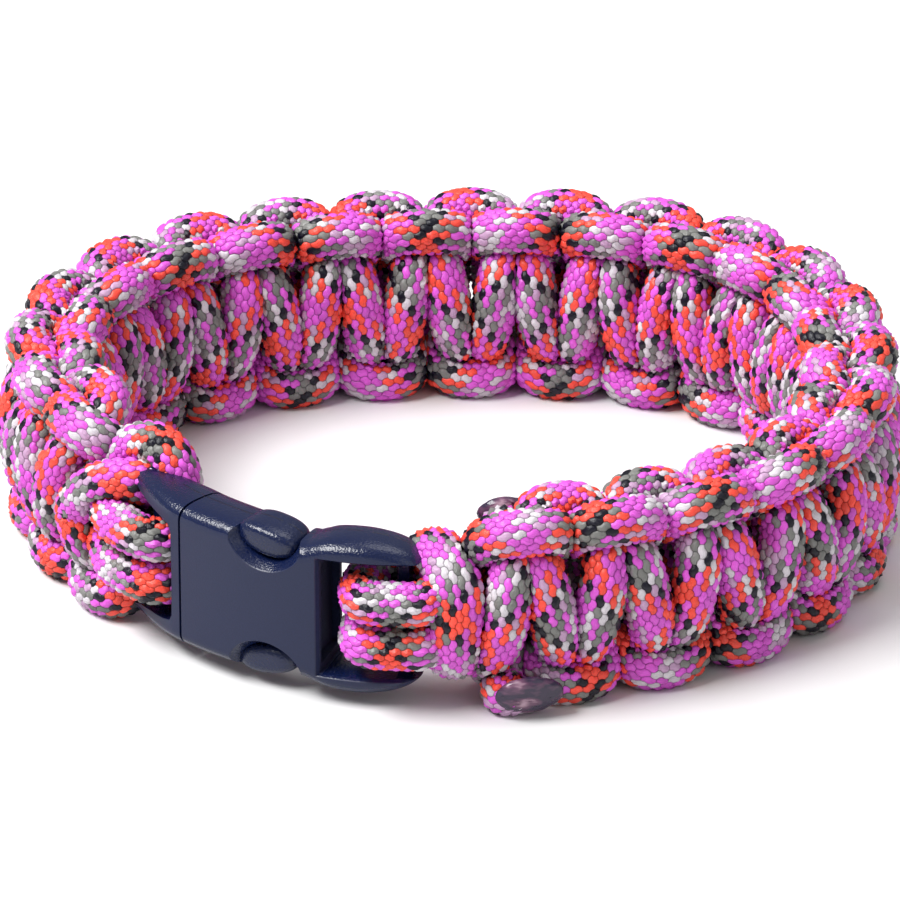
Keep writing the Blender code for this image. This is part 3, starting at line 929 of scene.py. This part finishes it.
def sheathMaterial():
    # each stitch is a rounded blob with filaments along it, painted shade darkening its edges and a slight
    # painted highlight in its middle
    look = sheathLook
    material, tree, shader = newMaterial("braidedNylon")
    links, nodes = tree.links, tree.nodes
    colour = nodes.new("ShaderNodeAttribute")
    colour.attribute_name = "yarnColour"
    uv = nodes.new("ShaderNodeUVMap")
    uv.uv_map = "yarn"
    parts = nodes.new("ShaderNodeSeparateXYZ")
    links.new(uv.outputs[0], parts.inputs[0])
    filaments = noiseNode(tree, mappingNode(tree, uv.outputs[0], look["filaments"]), 1.0, 2.0)
    across = mathNode(tree, "SUBTRACT", mathNode(tree, "MODULO", parts.outputs[0], 4.0), 2.0)
    across = mathNode(tree, "POWER", mathNode(tree, "ABSOLUTE", across), 2.0)
    along = mathNode(tree, "POWER", mathNode(tree, "ABSOLUTE", parts.outputs[1]), 3.0)
    body = mathNode(tree, "MULTIPLY", rangeNode(tree, across, 0, 1, 1, 0), rangeNode(tree, along, 0, 1, 1, 0))
    body = mathNode(tree, "SQRT", body)
    # painted shade: the colour darkens towards each stitch's edges, and a slight painted highlight lightens
    # its middle
    paintedShadeAndHighlight = rangeNode(tree, body, *look["paintedShadeAndHighlight"])
    tone = rangeNode(tree, filaments, *look["filamentTone"])
    shade = nodes.new("ShaderNodeHueSaturation")
    links.new(colour.outputs["Color"], shade.inputs["Color"])
    # the painted shade and painted highlight multiply the yarn's colour here
    links.new(mathNode(tree, "MULTIPLY", tone, paintedShadeAndHighlight), shade.inputs["Value"])
    links.new(shade.outputs[0], shader.inputs["Base Color"])
    height = mathNode(tree, "ADD", body, mathNode(tree, "MULTIPLY", filaments, look["filamentHeight"]))
    bumpNode(tree, height, *look["bump"], shader)
    shader.inputs["Roughness"].default_value = look["roughness"]
    shader.inputs["Specular IOR Level"].default_value = look["specular"]
    return material


buckleLook = {
    "colour": (0.003, 0.008, 0.042, 1),
    "grain": (6.5, 3.0),                  # scale and detail
    "grainTone": (0.3, 0.7, 0.86, 1.14),
    "grainHeight": 0.3,
    "pebbles": (4.8, 1.0),
    "faceHeight": (0.0, 1.0, 0.15, 1.0),  # the pebbles' height on the flat faces and the edges
    "edge": (3.28, 3.39, 1.0, 0.0),       # the flat faces begin between these two levels
    "seam": (0.03, 0.10, 1.0, 0.0),       # the mould's parting line, halfway up the edge
    "seamBreaks": (0.9, 2.0),
    "seamShows": (0.42, 0.5, 0.0, 1.0),
    "seamTone": (0.0, 1.0, 1.0, 0.25),
    "seamDepth": 0.8,
    "bump": (0.7, 0.065),
    "roughness": (0.0, 1.0, 0.55, 0.24),  # on the flat faces and the edges
    "slotMiddle": 5.5,                    # the slot's own wall is dull
    "slotRoughness": (0.65, 0.70, 0.9, 0.0),
    "slotSide": (5.80, 5.85, 1.0, 0.0),
    "specular": 0.48,
}


def buckleMaterial():
    # moulded navy plastic: fine grain, coarser pebbles that catch the light, a parting line
    look = buckleLook
    material, tree, shader = newMaterial("navyPlastic")
    links, nodes = tree.links, tree.nodes
    place = nodes.new("ShaderNodeAttribute")
    place.attribute_name = "straight"
    parts = nodes.new("ShaderNodeSeparateXYZ")
    links.new(place.outputs["Vector"], parts.inputs[0])
    grain = noiseNode(tree, place.outputs["Vector"], *look["grain"])
    pebbles = noiseNode(tree, place.outputs["Vector"], *look["pebbles"])
    level = mathNode(tree, "ABSOLUTE", parts.outputs[2])
    onEdge = rangeNode(tree, level, *look["edge"])
    broken = noiseNode(tree, place.outputs["Vector"], *look["seamBreaks"])
    broken = rangeNode(tree, broken, *look["seamShows"])
    seam = mathNode(tree, "MULTIPLY", rangeNode(tree, level, *look["seam"]), broken)
    tone = rangeNode(tree, grain, *look["grainTone"])
    tone = mathNode(tree, "MULTIPLY", tone, rangeNode(tree, seam, *look["seamTone"]))
    shade = nodes.new("ShaderNodeHueSaturation")
    shade.inputs["Color"].default_value = look["colour"]
    links.new(tone, shade.inputs["Value"])
    links.new(shade.outputs[0], shader.inputs["Base Color"])
    pebbles = mathNode(tree, "MULTIPLY", pebbles, rangeNode(tree, onEdge, *look["faceHeight"]))
    height = mathNode(tree, "ADD", mathNode(tree, "MULTIPLY", grain, look["grainHeight"]), pebbles)
    height = mathNode(tree, "SUBTRACT", height, mathNode(tree, "MULTIPLY", seam, look["seamDepth"]))
    bumpNode(tree, height, *look["bump"], shader)
    inSlot = mathNode(tree, "SUBTRACT", parts.outputs[0], look["slotMiddle"])
    inSlot = rangeNode(tree, mathNode(tree, "ABSOLUTE", inSlot), *look["slotRoughness"])
    inside = rangeNode(tree, mathNode(tree, "ABSOLUTE", parts.outputs[1]), *look["slotSide"])
    dull = mathNode(tree, "MULTIPLY", mathNode(tree, "MULTIPLY", inSlot, inside), onEdge)
    rough = mathNode(tree, "MAXIMUM", rangeNode(tree, onEdge, *look["roughness"]), dull)
    links.new(rough, shader.inputs["Roughness"])
    shader.inputs["Specular IOR Level"].default_value = look["specular"]
    return material


meltLook = {
    "stretch": (0.55, 0.55, 1.5),
    "smear": (620.0, 3.0),
    "dark": (0.46, (0.028, 0.018, 0.045, 1)),
    "middle": (0.58, (0.13, 0.055, 0.105, 1)),
    "pale": (0.68, (0.42, 0.27, 0.34, 1)),
    "bump": (0.35, 0.25),
    "roughness": 0.24,
}


def meltMaterial():
    # nylon melted dark, with a pale smear where it was pressed
    look = meltLook
    material, tree, shader = newMaterial("meltedNylon")
    place = tree.nodes.new("ShaderNodeTexCoord")
    stretched = mappingNode(tree, place.outputs["Object"], look["stretch"])
    smear = noiseNode(tree, stretched, *look["smear"])
    ramp = tree.nodes.new("ShaderNodeValToRGB")
    tree.links.new(smear, ramp.inputs[0])
    dark, pale = ramp.color_ramp.elements
    dark.position, dark.color = look["dark"]
    pale.position, pale.color = look["pale"]
    middle = ramp.color_ramp.elements.new(look["middle"][0])
    middle.color = look["middle"][1]
    tree.links.new(ramp.outputs[0], shader.inputs["Base Color"])
    bumpNode(tree, smear, *look["bump"], shader)
    shader.inputs["Roughness"].default_value = look["roughness"]
    return material


# camera, floor and light

camera = {
    "azimuth": 29.49,
    "elevation": 25.05,
    "distance": 901.0,
    "aim": (2.04, 2.02, 9.5),
    "focalPixels": 9506.0,
    "imageSize": 900,
    "aimPixel": (486.4, 428.3),
    "sensor": 36,
    "farthest": 10,
}


def setCamera():
    data = bpy.data.cameras.new("camera")
    made = bpy.data.objects.new("camera", data)
    bpy.context.scene.collection.objects.link(made)
    azimuth, elevation = math.radians(camera["azimuth"]), math.radians(camera["elevation"])
    back = Vector((
        math.sin(azimuth) * math.cos(elevation),
        -math.cos(azimuth) * math.cos(elevation),
        math.sin(elevation),
    ))
    made.location = (Vector(camera["aim"]) + back * camera["distance"]) * mm
    made.rotation_euler = back.to_track_quat("Z", "Y").to_euler()
    size = camera["imageSize"]
    data.sensor_width = camera["sensor"]
    data.lens = camera["focalPixels"] / size * data.sensor_width
    data.shift_x = (size / 2 - camera["aimPixel"][0]) / size
    data.shift_y = (camera["aimPixel"][1] - size / 2) / size
    data.clip_end = camera["farthest"]
    bpy.context.scene.camera = made
    bpy.context.scene.view_settings.view_transform = "Standard"


stage = {
    "floorReach": 3,
    "floorColour": (0.76, 0.76, 0.76, 1),
    "floorRoughness": 0.9,
    "floorSpecular": 0.1,
    "skyColour": (1, 1, 1, 1),
    "skyStrength": 0.33,
}
lights = {
    # name: place in metres, length and width, power
    "softKey": ((-0.56, -0.56, 1.15), (1.0, 0.5), 30.0),
    "softFill": ((1.1, -0.3, 0.7), (0.8, 0.8), 1.6),
    "softTop": ((0.1, 0.5, 1.3), (0.8, 0.8), 5.0),
}


def setStage():
    mesh = bmesh.new()
    bmesh.ops.create_grid(mesh, x_segments=1, y_segments=1, size=stage["floorReach"])
    data = bpy.data.meshes.new("floor")
    mesh.to_mesh(data)
    mesh.free()
    floor = bpy.data.objects.new("floor", data)
    bpy.context.scene.collection.objects.link(floor)
    material, tree, shader = newMaterial("paleFloor")
    shader.inputs["Base Color"].default_value = stage["floorColour"]
    shader.inputs["Roughness"].default_value = stage["floorRoughness"]
    shader.inputs["Specular IOR Level"].default_value = stage["floorSpecular"]
    data.materials.append(material)
    world = bpy.data.worlds.new("studio")
    bpy.context.scene.world = world
    world.use_nodes = True
    background = world.node_tree.nodes["Background"]
    background.inputs[0].default_value = stage["skyColour"]
    background.inputs[1].default_value = stage["skyStrength"]
    for name, (place, size, power) in lights.items():
        light = bpy.data.lights.new(name, "AREA")
        light.shape = "RECTANGLE"
        light.size, light.size_y = size
        light.energy = power
        lamp = bpy.data.objects.new(name, light)
        lamp.location = place
        lamp.rotation_euler = Vector(place).to_track_quat("Z", "Y").to_euler()
        bpy.context.scene.collection.objects.link(lamp)


materials = {"sheath": sheathMaterial(), "buckle": buckleMaterial(), "melt": meltMaterial()}
setCamera()
setStage()
print("materials, camera and stage")

centres = makeRoutes()
presses = makeTree(centres)
print("routes")

makeStrands()
makeEndWrap()
makeCoreLoops()
print("cords")

makeBuckle()
print("buckle")

makeMelts()
print("melted ends")
